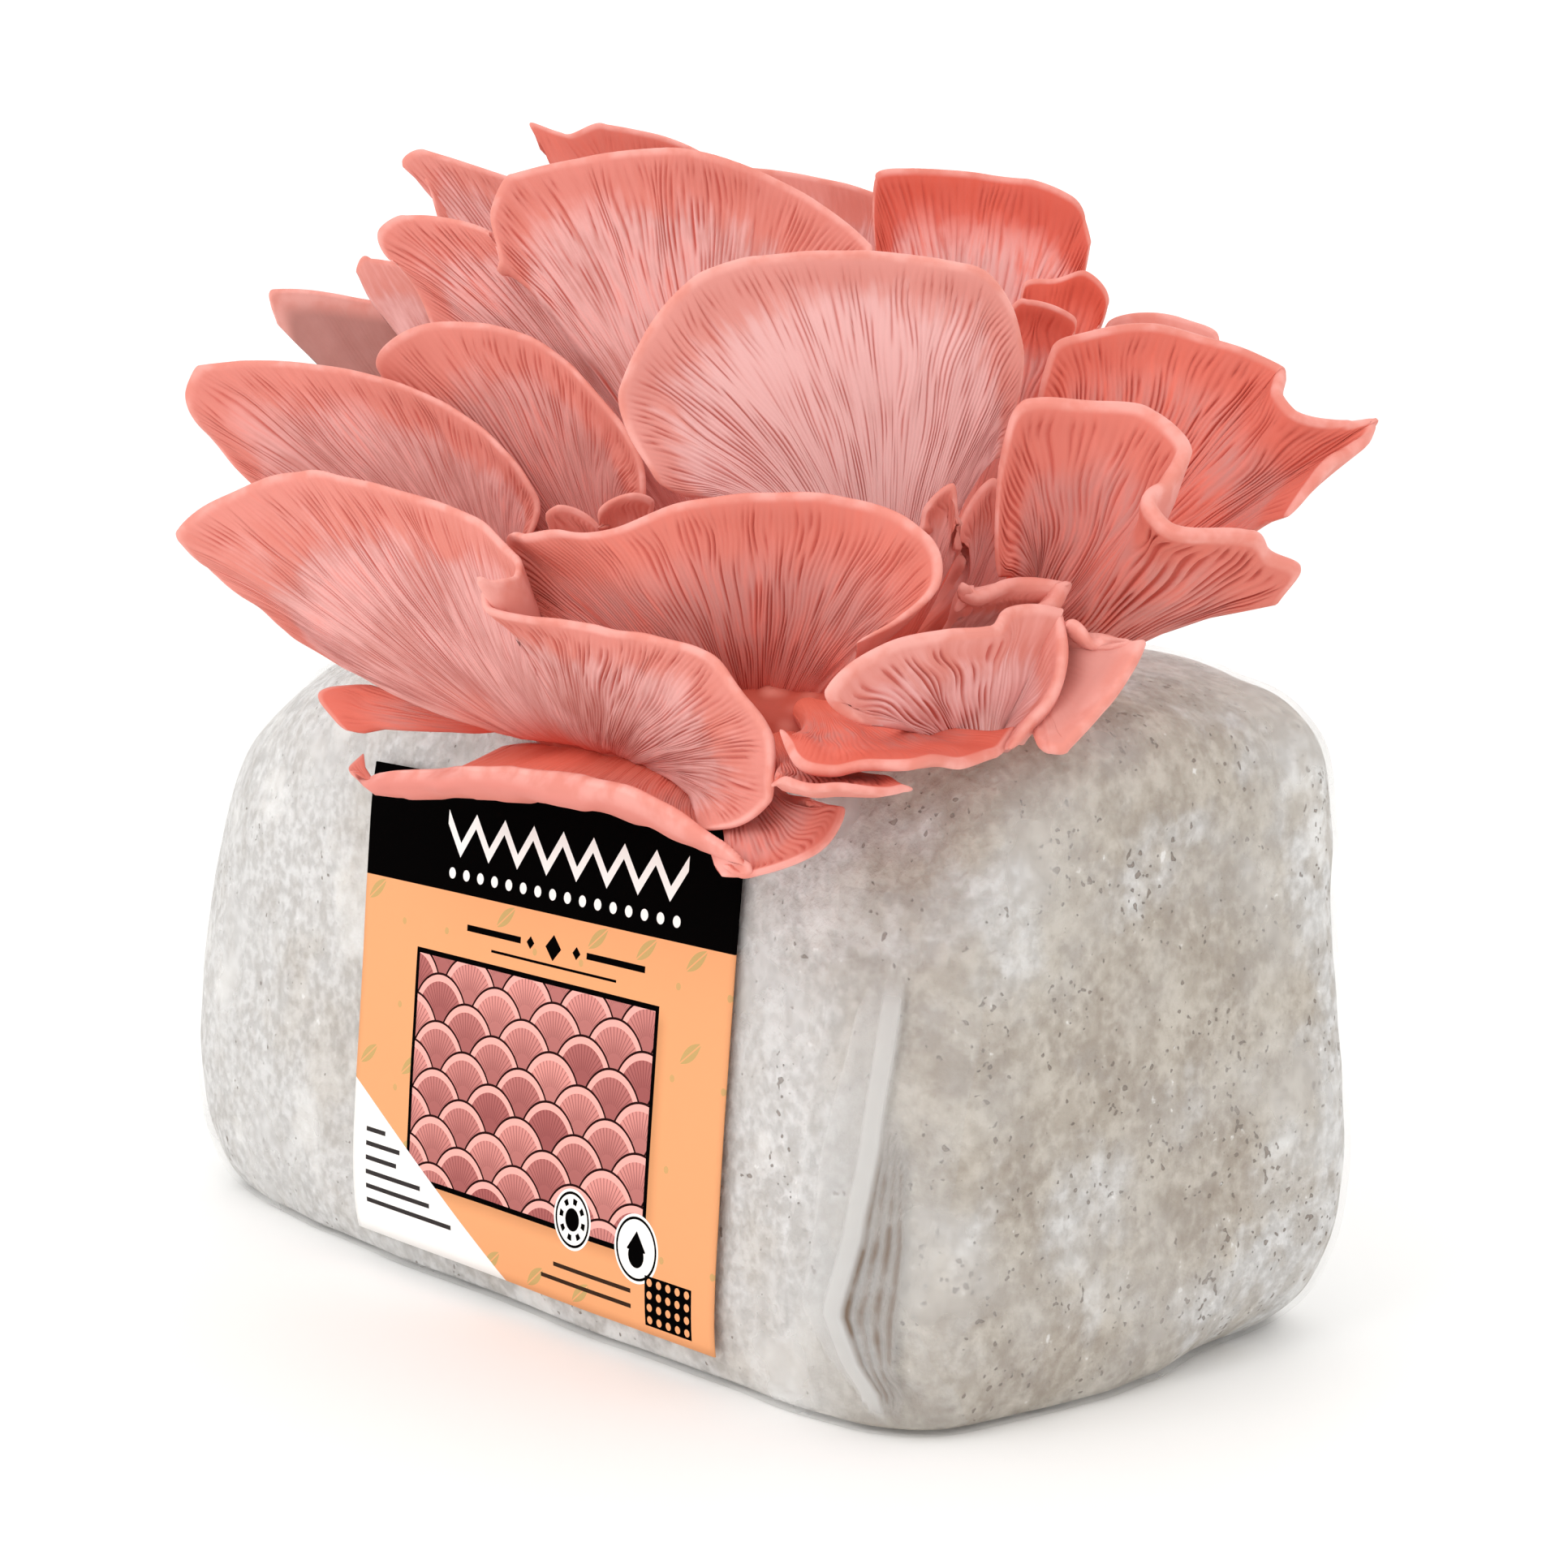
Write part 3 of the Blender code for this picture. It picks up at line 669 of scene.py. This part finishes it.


# Mushrooms: each is one fan of flesh, stem and cap together, with fine gills that run from
# the stem to just under the smooth, rounded margin. Rose caps, pale where the spores dust them,
# with painted shade in the grooves, the throats and a band under the curled margin.
# Each mushroom in millimetres: stem width and depth, foot in the butt, throat where the gills
# meet, and the rim read clockwise by someone who faces the gills.
MUSHROOMS = {
    "front_left": ((22, 6), (28, -46, 110), (42, -66, 103), [
        (-13, -78, 120), (-40, -85, 137), (-45, -88, 143), (-24, -82, 153), (-9, -76, 154),
        (25, -70, 148), (42, -72, 142), (48, -76, 140), (50, -79, 139), (50, -84, 139),
        (49, -87, 139), (48, -85, 137), (49, -84, 135), (57, -78, 133), (69, -73, 132),
        (80, -71, 131), (89, -70, 129), (94, -69, 125), (103, -68, 117), (106, -70, 110),
        (105, -70, 106), (100, -72, 102), (92, -74, 101)]),
    "front_lip": ((66, 4), (38, -48, 106), (42, -74, 96), [
        (101, -77, 95), (106, -76, 96), (90, -76, 101), (75, -78, 104), (56, -77, 105),
        (36, -76, 105), (17, -75, 103), (-4, -73, 100), (-11, -73, 98), (-15, -71, 99),
        (-15, -68, 102)]),
    "front_low": ((8, 5), (72, -49, 109), (100, -70, 102), [
        (108, -64, 106), (113, -61, 105), (113, -68, 98), (105, -75, 94), (99, -76, 96)]),
    "left_low": ((7, 5), (14, -44, 112), (10, -65, 109), [
        (-13, -74, 107), (-19, -75, 113), (-9, -69, 115)]),
    "front_centre": ((20, 8), (62, -40, 114), (82, -55, 117), [
        (51, -70, 127), (38, -69, 133), (31, -68, 139), (32, -68, 145), (49, -71, 147),
        (58, -68, 147), (74, -60, 153), (96, -47, 154), (112, -41, 148), (117, -44, 139),
        (110, -56, 131)]),
    "front_curled": ((9, 7), (111, -31, 111), (121, -38, 114), [
        (124, -68, 121), (123, -73, 124), (123, -74, 126), (123, -71, 129), (124, -66, 132),
        (124, -59, 134), (125, -51, 135), (126, -42, 135), (124, -36, 137), (124, -29, 137),
        (125, -25, 135), (131, -29, 129), (132, -34, 122), (131, -39, 118), (131, -44, 115)]),
    "right_lip": ((8, 6), (83, -15, 122), (104, -21, 131), [
        (108, -32, 134), (108, -32, 140), (110, -30, 139), (111, -22, 140), (115, -14, 139),
        (117, -17, 135), (115, -23, 132)]),
    "right_drooping": ((8, 6), (94, -17, 119), (122, -28, 130), [
        (123, -27, 134), (126, -24, 134), (131, -23, 132), (138, -19, 130), (137, -35, 114),
        (135, -38, 114), (132, -38, 117)]),
    "front_thin": ((8, 5), (80, -46, 112), (112, -67, 110), [
        (132, -63, 111), (133, -71, 111), (131, -76, 111), (125, -80, 111), (114, -78, 112)]),
    "front_fold": ((9, 6), (80, -40, 117), (113, -60, 117), [
        (126, -35, 118), (129, -43, 114), (132, -58, 114), (132, -65, 114), (122, -76, 114),
        (107, -71, 118)]),
    "right_front": ((13, 9), (86, -8, 122), (112, -8, 129), [
        (100, -17, 137), (101, -17, 157), (102, -15, 166), (104, -13, 169), (113, -6, 169),
        (120, -1, 168), (131, -1, 162), (133, -7, 156), (136, -14, 154), (139, -13, 151),
        (145, -1, 149), (145, 3, 146), (147, 8, 143), (144, 8, 138)]),
    "centre": ((13, 10), (65, -16, 123), (78, -19, 146), [
        (61, -52, 152), (59, -58, 156), (55, -62, 171), (65, -50, 191), (92, -16, 192),
        (95, -6, 179), (89, -4, 159)]),
    "left": ((11, 8), (8, -32, 120), (1, -51, 130), [
        (-28, -63, 135), (-54, -75, 158), (-58, -78, 167), (-55, -76, 173), (-24, -61, 172),
        (-1, -51, 163), (13, -48, 150), (14, -53, 137)]),
    "left_upper": ((11, 8), (20, -26, 122), (12, -39, 143), [
        (-7, -46, 151), (-26, -56, 173), (-16, -52, 181), (-1, -41, 179), (8, -37, 174),
        (25, -34, 159), (29, -35, 150), (26, -37, 143)]),
    "tall": ((13, 10), (32, -12, 123), (25, -23, 157), [
        (-2, -30, 157), (-18, -37, 168), (-35, -45, 193), (-38, -47, 198), (-33, -44, 201),
        (-15, -38, 198), (-9, -40, 192), (-12, -40, 201), (-11, -35, 208), (19, -15, 212),
        (51, -1, 195), (53, -8, 184), (48, -17, 170)]),
    "right": ((12, 9), (79, -2, 124), (101, 17, 139), [
        (83, 8, 161), (83, 13, 177), (85, 16, 179), (94, 27, 181), (101, 36, 178), (110, 44, 173),
        (115, 38, 169), (119, 38, 166), (122, 45, 165), (124, 50, 165), (125, 51, 164),
        (126, 49, 161), (126, 45, 159), (126, 41, 158), (125, 36, 155), (124, 30, 150)]),
    "tall_right": ((11, 8), (56, 4, 123), (56, 17, 157), [
        (40, 10, 184), (35, 14, 207), (40, 19, 209), (51, 35, 207), (58, 41, 204), (60, 43, 200),
        (62, 43, 196), (63, 41, 190)]),
    "back_left": ((8, 6), (2, -22, 123), (-34, -29, 145), [
        (-81, -44, 181), (-81, -44, 187), (-56, -30, 183), (-47, -28, 177)]),
    "back_left_small": ((8, 6), (8, -10, 125), (-24, -26, 152), [
        (-58, -41, 190), (-56, -39, 193), (-42, -32, 189), (-34, -31, 178)]),
    "back_tall": ((9, 7), (16, -3, 125), (-10, -12, 165), [
        (-32, -23, 180), (-43, -30, 200), (-47, -31, 208), (-51, -33, 212), (-46, -31, 214),
        (-18, -18, 202), (-12, -15, 184)]),
    "back_top": ((9, 7), (30, 5, 122), (-6, 6, 168), [
        (-33, -9, 212), (-38, -12, 219), (-32, -7, 217), (-26, -3, 219), (-6, 8, 212),
        (-2, 9, 200)]),
    "back_middle": ((9, 7), (42, 7, 122), (22, 14, 168), [
        (6, 1, 205), (8, 7, 210), (26, 26, 204), (28, 25, 200)]),
    "back_right_small": ((8, 6), (66, 8, 122), (73, 21, 164), [
        (69, 19, 175), (67, 21, 188), (70, 26, 189), (73, 31, 190), (77, 33, 185), (76, 27, 172)]),
    "right_small": ((7, 6), (68, -4, 126), (77, 14, 161), [
        (72, 10, 181), (73, 14, 185), (79, 22, 182), (80, 21, 175)]),
    "back_right": ((8, 6), (74, 9, 123), (81, 38, 157), [
        (74, 33, 179), (75, 36, 182), (78, 40, 183), (83, 46, 182), (88, 50, 179), (88, 47, 170)]),
    "young_left_front": ((6, 5), (44, -42, 124), (43, -52, 140), [
        (42, -55, 144), (43, -57, 150), (48, -53, 153), (50, -50, 151), (47, -51, 142)]),
    "young_left": ((6, 5), (34, -42, 123), (32, -53, 140), [
        (28, -57, 143), (28, -57, 148), (31, -56, 150), (35, -51, 146), (35, -52, 141)]),
    "young_right_front": ((6, 5), (78, -22, 125), (92, -21, 142), [
        (90, -24, 145), (90, -24, 151), (93, -20, 155), (94, -19, 149), (93, -20, 145)]),
    "young_right": ((6, 5), (75, -12, 125), (91, -10, 137), [
        (89, -13, 141), (88, -14, 147), (90, -8, 155), (93, -5, 144), (92, -6, 139)]),
}

# Each cap's gill spacing, how coral it is, how much pale dust lies on its gills, how deep the
# gills stand and how far its margin curls over them. Where dust and coral are low, the darker
# gill and back colours stand for painted shade on caps that sit in shadow.
PLAIN = (1.3, 0.55, 0.35, 0.5, 1.5)
CHARACTER = {
    "centre": (1.2, 0.36, 1.00, 0.8, 2.4),
    "front_left": (1.2, 0.50, 0.42, 0.9, 1.6),
    "front_centre": (1.2, 0.62, 0.15, 1.0, 2.2),
    "front_curled": (1.9, 0.30, 0.58, 1.4, 1.0),
    "front_lip": (1.2, 0.70, 0.05, 0.5, 4.0),
    "front_low": (1.3, 0.60, 0.20, 0.8, 1.0),
    "front_thin": (1.3, 0.75, 0.15, 0.6, 1.0),
    "front_fold": (1.3, 0.85, 0.05, 0.3, 0.5),
    "left_low": (1.3, 0.80, 0.00, 0.4, 1.0),
    "right_front": (1.9, 0.65, 0.20, 1.3, 1.8),
    "right": (1.4, 0.80, 0.20, 1.0, 1.8),
    "right_lip": (1.3, 0.45, 0.55, 0.3, 1.5),
    "right_drooping": (1.4, 0.30, 0.10, 0.12, 1.5),
    "tall": (1.3, 0.58, 0.50, 0.9, 2.4),
    "tall_right": (1.4, 0.95, 0.75, 0.9, 2.4),
    "left": (1.2, 0.55, 0.40, 0.8, 1.5),
    "left_upper": (1.2, 0.55, 0.30, 0.9, 1.5),
    # back_left sits in shadow: its low dust and coral give it darker colours as painted shade.
    "back_left": (1.3, 0.00, 0.05, 0.12, 0.8),
    "back_left_small": (1.3, 0.15, 0.50, 0.25, 0.8),
    "back_tall": (1.3, 0.45, 0.45, 0.6, 1.5),
    "back_top": (1.3, 0.70, 0.20, 0.4, 1.5),
    "back_middle": (1.3, 0.45, 0.50, 0.3, 1.0),
    "back_right": (1.3, 0.80, 0.00, 0.12, 0.8),
    "back_right_small": (1.3, 0.95, 0.20, 0.5, 1.5),
    "right_small": (1.3, 0.90, 0.45, 0.5, 1.5),
}
# Share of the rim beyond which a cap's gills fade to smooth flesh, and thicker margins.
BARE_FROM = {"front_curled": 0.42}
MARGIN = {"right_front": 2.6, "right": 2.2, "right_lip": 2.6, "right_drooping": 2.0,
          "front_curled": 2.0, "front_fold": 1.8}
RIM_THICKNESS = 1.3
CAP_THICKNESS = 3.6
WAVE_BLUR = 0.12
GILL_SAMPLES = 5
GILL_DEPTH = 0.8
GILL_ROWS = 34
RIM_ROWS = 4
BACK_ROWS = 7
CURL_WIDTH = 8.0
chance_of = np.random.default_rng(11)


def spline(points, count):
    """Points evenly spaced along a smooth curve through the given ones."""
    ends = [2 * points[0] - points[1], *points, 2 * points[-1] - points[-2]]
    curve = []
    for before, start, stop, after in zip(ends, ends[1:], ends[2:], ends[3:]):
        reach = np.linalg.norm(stop - start)
        leave = (stop - before) * reach / (reach + np.linalg.norm(start - before))
        arrive = (after - start) * reach / (reach + np.linalg.norm(after - stop))
        for t in np.linspace(0, 1, 16, endpoint=False):
            curve.append((2 * t**3 - 3 * t**2 + 1) * start + (t**3 - 2 * t**2 + t) * leave
                         + (3 * t**2 - 2 * t**3) * stop + (t**3 - t**2) * arrive)
    curve = np.array(curve + [points[-1]])
    length = np.concatenate([[0], np.cumsum(np.linalg.norm(np.diff(curve, axis=0), axis=1))])
    wanted = np.linspace(0, length[-1], count)
    return np.stack([np.interp(wanted, length, curve[:, axis]) for axis in range(3)], axis=1)


def unit(vectors):
    return vectors / np.linalg.norm(vectors, axis=-1, keepdims=True)


def fade(value, low, high):
    share = np.clip((value - low) / (high - low), 0, 1)
    return share * share * (3 - 2 * share)


def ripple(columns, rows, waves_across, waves_out):
    """A smooth field from -1 to 1 with about this many waves each way."""
    knots = chance_of.uniform(-1, 1, (max(2, int(waves_across) + 2), max(2, int(waves_out) + 2)))
    at = np.linspace(0, knots.shape[0] - 1.001, columns + 1)
    out = np.linspace(0, knots.shape[1] - 1.001, rows + 1)
    low_at, low_out = at.astype(int), out.astype(int)
    share_at = fade(at - low_at, 0, 1)[:, None]
    share_out = fade(out - low_out, 0, 1)[None, :]
    near = knots[low_at][:, low_out] * (1 - share_out) + knots[low_at][:, low_out + 1] * share_out
    far = (knots[low_at + 1][:, low_out] * (1 - share_out)
           + knots[low_at + 1][:, low_out + 1] * share_out)
    return near * (1 - share_at) + far * share_at


def fan_surface(stem_width, foot, throat, rim, columns, rows):
    """Middle surface of a mushroom: lines that leave the stem, bend at the throat and
    spread to the rim. Returns points[column, row] and the share along each line."""
    edge = spline(rim, columns + 1)
    axis = unit(throat - foot)
    across = edge[3 * columns // 4] - edge[columns // 4]
    across = unit(across - axis * (across @ axis))
    side = np.linspace(-0.5, 0.5, columns + 1)[:, None, None] * across * stem_width
    out = 1 - (1 - np.linspace(0, 1, rows + 1)[None, :, None]) ** 1.3
    share = np.linspace(0, 1, columns + 1)
    blur = np.exp(-(np.subtract.outer(share, share) / WAVE_BLUR) ** 2)
    calm = blur @ edge / blur.sum(axis=1, keepdims=True)
    spread = calm[:, None, :] + (edge - calm)[:, None, :] * out ** 3
    points = ((1 - out) ** 2 * (foot + side) + 2 * out * (1 - out) * (throat + 1.15 * side)
              + out ** 2 * spread)
    return points, out[0, :, 0]


def gill_grooves(columns, rows, length):
    """How open the grooves between the gills are, from 0 to 1: one narrow line per gill,
    which sways and comes and goes as the gills fork and fuse."""
    gills = columns / GILL_SAMPLES
    across = np.arange(columns + 1)[:, None] / GILL_SAMPLES
    across = across + 0.45 * ripple(columns, rows, gills / 3, length / 10)
    lines = ((1 - np.cos(2 * np.pi * across)) / 2) ** 2
    open_parts = fade(ripple(columns, rows, gills, length / 5), -0.5, 0.6)
    return lines * (0.2 + 0.8 * open_parts) * (
        0.72 + 0.28 * ripple(columns, rows, gills / 14, length / 20))


def mushroom_skin(stem, foot, throat, rim, columns, gill_depth, curl, bare_from, margin):
    """Rows of points up the gill side, round the rim and down the back, and for each point
    how deep it lies in a groove, its millimetres across and below the rim, its share of the
    way out and its side: 1 on the gills, 0 on the back."""
    points, out = fan_surface(stem[0], foot, throat, rim, columns, GILL_ROWS)
    gills = columns / GILL_SAMPLES
    wander = ripple(columns, GILL_ROWS, gills / 5, 6)[:, :, None] * fade(out, 0.1, 0.5)[:, None]
    points = points + np.gradient(points, axis=0) * wander * 5.0
    normal = unit(np.cross(np.gradient(points, axis=0), np.gradient(points, axis=1)) + 1e-9)
    length = np.linalg.norm(np.diff(points, axis=1), axis=2).sum(axis=1).mean()
    below = (1 - out) * length
    at_rim = np.linspace(0, 1, columns + 1)[:, None]
    curled = fade(CURL_WIDTH - below, 0, CURL_WIDTH) ** 2 * fade(1 - abs(2 * at_rim - 1), 0, 0.2)
    sway = (ripple(columns, GILL_ROWS, gills / 8, 3) * 0.9 * out
            + ripple(columns, GILL_ROWS, gills / 5, 4) * 0.35 * fade(out, 0.3, 0.9)
            + curl * (0.65 + 0.35 * ripple(columns, GILL_ROWS, gills / 12, 2)) * curled)
    points = points + normal * sway[:, :, None]
    share = np.abs(np.linspace(-1, 1, columns + 1))[:, None]
    edge_round = np.sqrt(1 - share ** (2 + 8 * out))
    depth = np.interp(out, [0, 0.25, 0.6, 0.9, 1], [stem[1], 1.3 * CAP_THICKNESS, CAP_THICKNESS,
                                                    1.6 * margin, margin])
    half = (edge_round * depth / 2)[:, :, None]
    inside = (fade(below, 0.6, 2.6)[None, :] * fade(edge_round, 0.2, 0.7) * gill_depth
              * (1 - 0.85 * fade(at_rim, bare_from, bare_from + 0.15)))
    grooves = gill_grooves(columns, GILL_ROWS, length) * inside
    spacing = np.linalg.norm(np.gradient(points, axis=0), axis=2) * GILL_SAMPLES
    relief = -np.minimum(GILL_DEPTH, 1.1 * spacing) * grooves
    nibble = 0.2 * ripple(columns, 1, gills / 6, 1)[:, :1, None] * fade(out, 0.9, 1.0)[:, None]
    tip = unit(points[:, -1:] - points[:, -2:-1])
    points = points + tip * (nibble - margin / 2 * fade(out, 0.8, 1.0)[:, None])
    front = points + normal * (half + relief[:, :, None])
    back = points - normal * half
    outward = unit(points[:, -1] - points[:, -2])
    turn = np.linspace(0, np.pi, RIM_ROWS + 2)[1:-1]
    rim_rows = [points[:, -1] + half[:, -1] * (normal[:, -1] * np.cos(t) + outward * np.sin(t))
                for t in turn]
    kept = np.linspace(GILL_ROWS, 0, BACK_ROWS + 1).astype(int)
    skin = np.concatenate([front, np.stack(rim_rows, 1), back[:, kept]], axis=1)
    marks = np.zeros((*skin.shape[:2], 5))
    marks[:, :GILL_ROWS + 1, 0] = grooves
    marks[:, :, 1] = np.linspace(0, gills, columns + 1)[:, None]
    marks[:, :, 2] = np.concatenate([below, np.zeros(RIM_ROWS), below[kept]])
    marks[:, :, 3] = np.concatenate([out, np.ones(RIM_ROWS), out[kept]])
    marks[:, :, 4] = np.concatenate([np.ones(GILL_ROWS + 1), np.linspace(0.8, 0.2, RIM_ROWS),
                                     np.zeros(BACK_ROWS + 1)]) * fade(gill_depth, 0, 0.35)
    return skin, marks


def grow(name, stem, foot, throat, rim, finish):
    pitch, coral, dust_and_shade, gill_depth, curl = CHARACTER.get(name, PLAIN)
    rim = np.array(rim, float)
    girth = np.linalg.norm(np.diff(rim, axis=0), axis=1).sum()
    columns = GILL_SAMPLES * max(6, int(girth / pitch))
    skin, values = mushroom_skin(stem, np.array(foot, float), np.array(throat, float), rim,
                                 columns, gill_depth, curl, BARE_FROM.get(name, 1.0),
                                 MARGIN.get(name, RIM_THICKNESS))
    rows = skin.shape[1] - 1
    shape = bmesh.new()
    bmesh.ops.create_grid(shape, x_segments=columns, y_segments=rows, size=1)
    layers = [shape.verts.layers.float.new(mark) for mark in MARKS]
    for vert in shape.verts:
        column = round((vert.co.x + 1) / 2 * columns)
        row = round((vert.co.y + 1) / 2 * rows)
        vert.co = skin[column, row] * MM
        for layer, value in zip(layers, (*values[column, row], coral, dust_and_shade)):
            vert[layer] = value
    bmesh.ops.remove_doubles(shape, verts=shape.verts, dist=0.00001)
    open_end = [edge for edge in shape.edges if edge.is_boundary]
    bmesh.ops.holes_fill(shape, edges=open_end, sides=0)
    bmesh.ops.recalc_face_normals(shape, faces=shape.faces)
    if shape.calc_volume(signed=True) < 0:
        bmesh.ops.reverse_faces(shape, faces=shape.faces)
    node = name if name.startswith("young") else "mushroom_" + name
    add_piece("oyster_" + name, shape, finish, "mushroom_flesh", node)


MARKS = ("groove", "across", "below_rim", "reach", "side", "coral", "dust_and_shade")
flesh = Finish("gilled flesh", roughness=0.55)
groove, across, below_rim, reach, side, coral, dust_and_shade = [
    flesh.node("Attribute", {"attribute_name": mark}, output=2) for mark in MARKS]
clouds = flesh.grain(16, detail=4)
patches = flesh.grain(6, detail=3, seed=8)
lines = flesh.node("CombineXYZ", inputs={"X": across * 0.9, "Y": below_rim / 8, "Z": coral * 40})
strokes = flesh.node("TexNoise", inputs={"Vector": lines, "Scale": 1.0, "Detail": 3})
pale = flesh.mix(flesh.ease(dust_and_shade + (clouds - 0.5) * 1.4 + (strokes - 0.5) * 1.2, 0.1, 0.9),
                 colour("C9837B"), colour("E9B2AE"))
rose = flesh.mix(coral, colour("D38276"), colour("E36853"))
redness = flesh.ease(coral * 0.8 + (clouds - 0.5) * 1.3 + (strokes - 0.5) * 1.3 - dust_and_shade * 0.45,
                     0.15, 1.0)
crest = flesh.mix(redness, pale, rose)
dusted = (1 - flesh.ease(reach, 0.3, 0.8)) * flesh.ease(dust_and_shade, 0.5, 0.95)
crest = flesh.mix(dusted * 0.9, crest, colour("FDDCD9"))
# Toward the stem the flesh turns a deeper coral: partly its own colour, partly painted shade in
# the throat. Dusted caps keep it pale.
near_stem = 1 - flesh.ease(reach + (clouds - 0.5) * 0.3 + (strokes - 0.5) * 0.3, 0.15, 0.55)
crest = flesh.mix(near_stem * (1 - 0.95 * dust_and_shade), crest, colour("F57E67"))
# Painted shade: a darker coral band just inside the rim, where the curled margin shades the gills,
# deepest on the most coral caps.
rim_shade_band = 1 - flesh.ease(below_rim + (strokes - 0.5) * 9 + (clouds - 0.5) * 16 - coral * 5,
                          1.5, 7.5)
rim_shade_colour = flesh.mix(coral * coral, colour("DB8272"), colour("D2492F"))
crest = flesh.mix(rim_shade_band * (0.5 + 0.45 * coral), crest, rim_shade_colour)
# Grooves between the gills: the coral that the dusted crests lack, darkened as painted shade down
# in the grooves and deepest near the stem.
groove_shade_and_coral = flesh.mix(coral, colour("C86C61"), colour("C24634"))
groove_shade_and_coral = flesh.mix(near_stem * (1 - dusted), groove_shade_and_coral, colour("D9442D"))
gilled = flesh.mix(flesh.ease(groove, 0.05, 0.75) * (1 - 0.45 * dusted), crest, groove_shade_and_coral)
# Smooth back: the dull darker pinks are painted shade for caps with little dust and coral, which
# sit in shadow; the rest take the paler pinks.
smooth = flesh.mix(patches, colour("A97068"), colour("945C52"))
smooth = flesh.mix(flesh.ease(dust_and_shade + coral, 0.05, 0.5), smooth,
                   flesh.mix(coral, colour("DA9A91"), colour("D87263")))
lip = flesh.mix(flesh.ease(patches, 0.35, 0.65), colour("DF8879"), colour("EEA99F"))
smooth = flesh.mix((1 - flesh.ease(below_rim, 1.5, 6.0)) * 0.6, smooth, lip)
skin_colour = flesh.mix(flesh.ease(side, 0.1, 0.9), smooth, gilled)
skin_colour = flesh.mix((1 - flesh.ease(below_rim, 0.0, 0.9)) * 0.75, skin_colour, lip)
flesh.wear(Base_Color=skin_colour, Roughness=0.55 + 0.2 * patches)
for name, (stem, foot, throat, rim) in MUSHROOMS.items():
    grow(name, stem, foot, throat, rim, flesh)
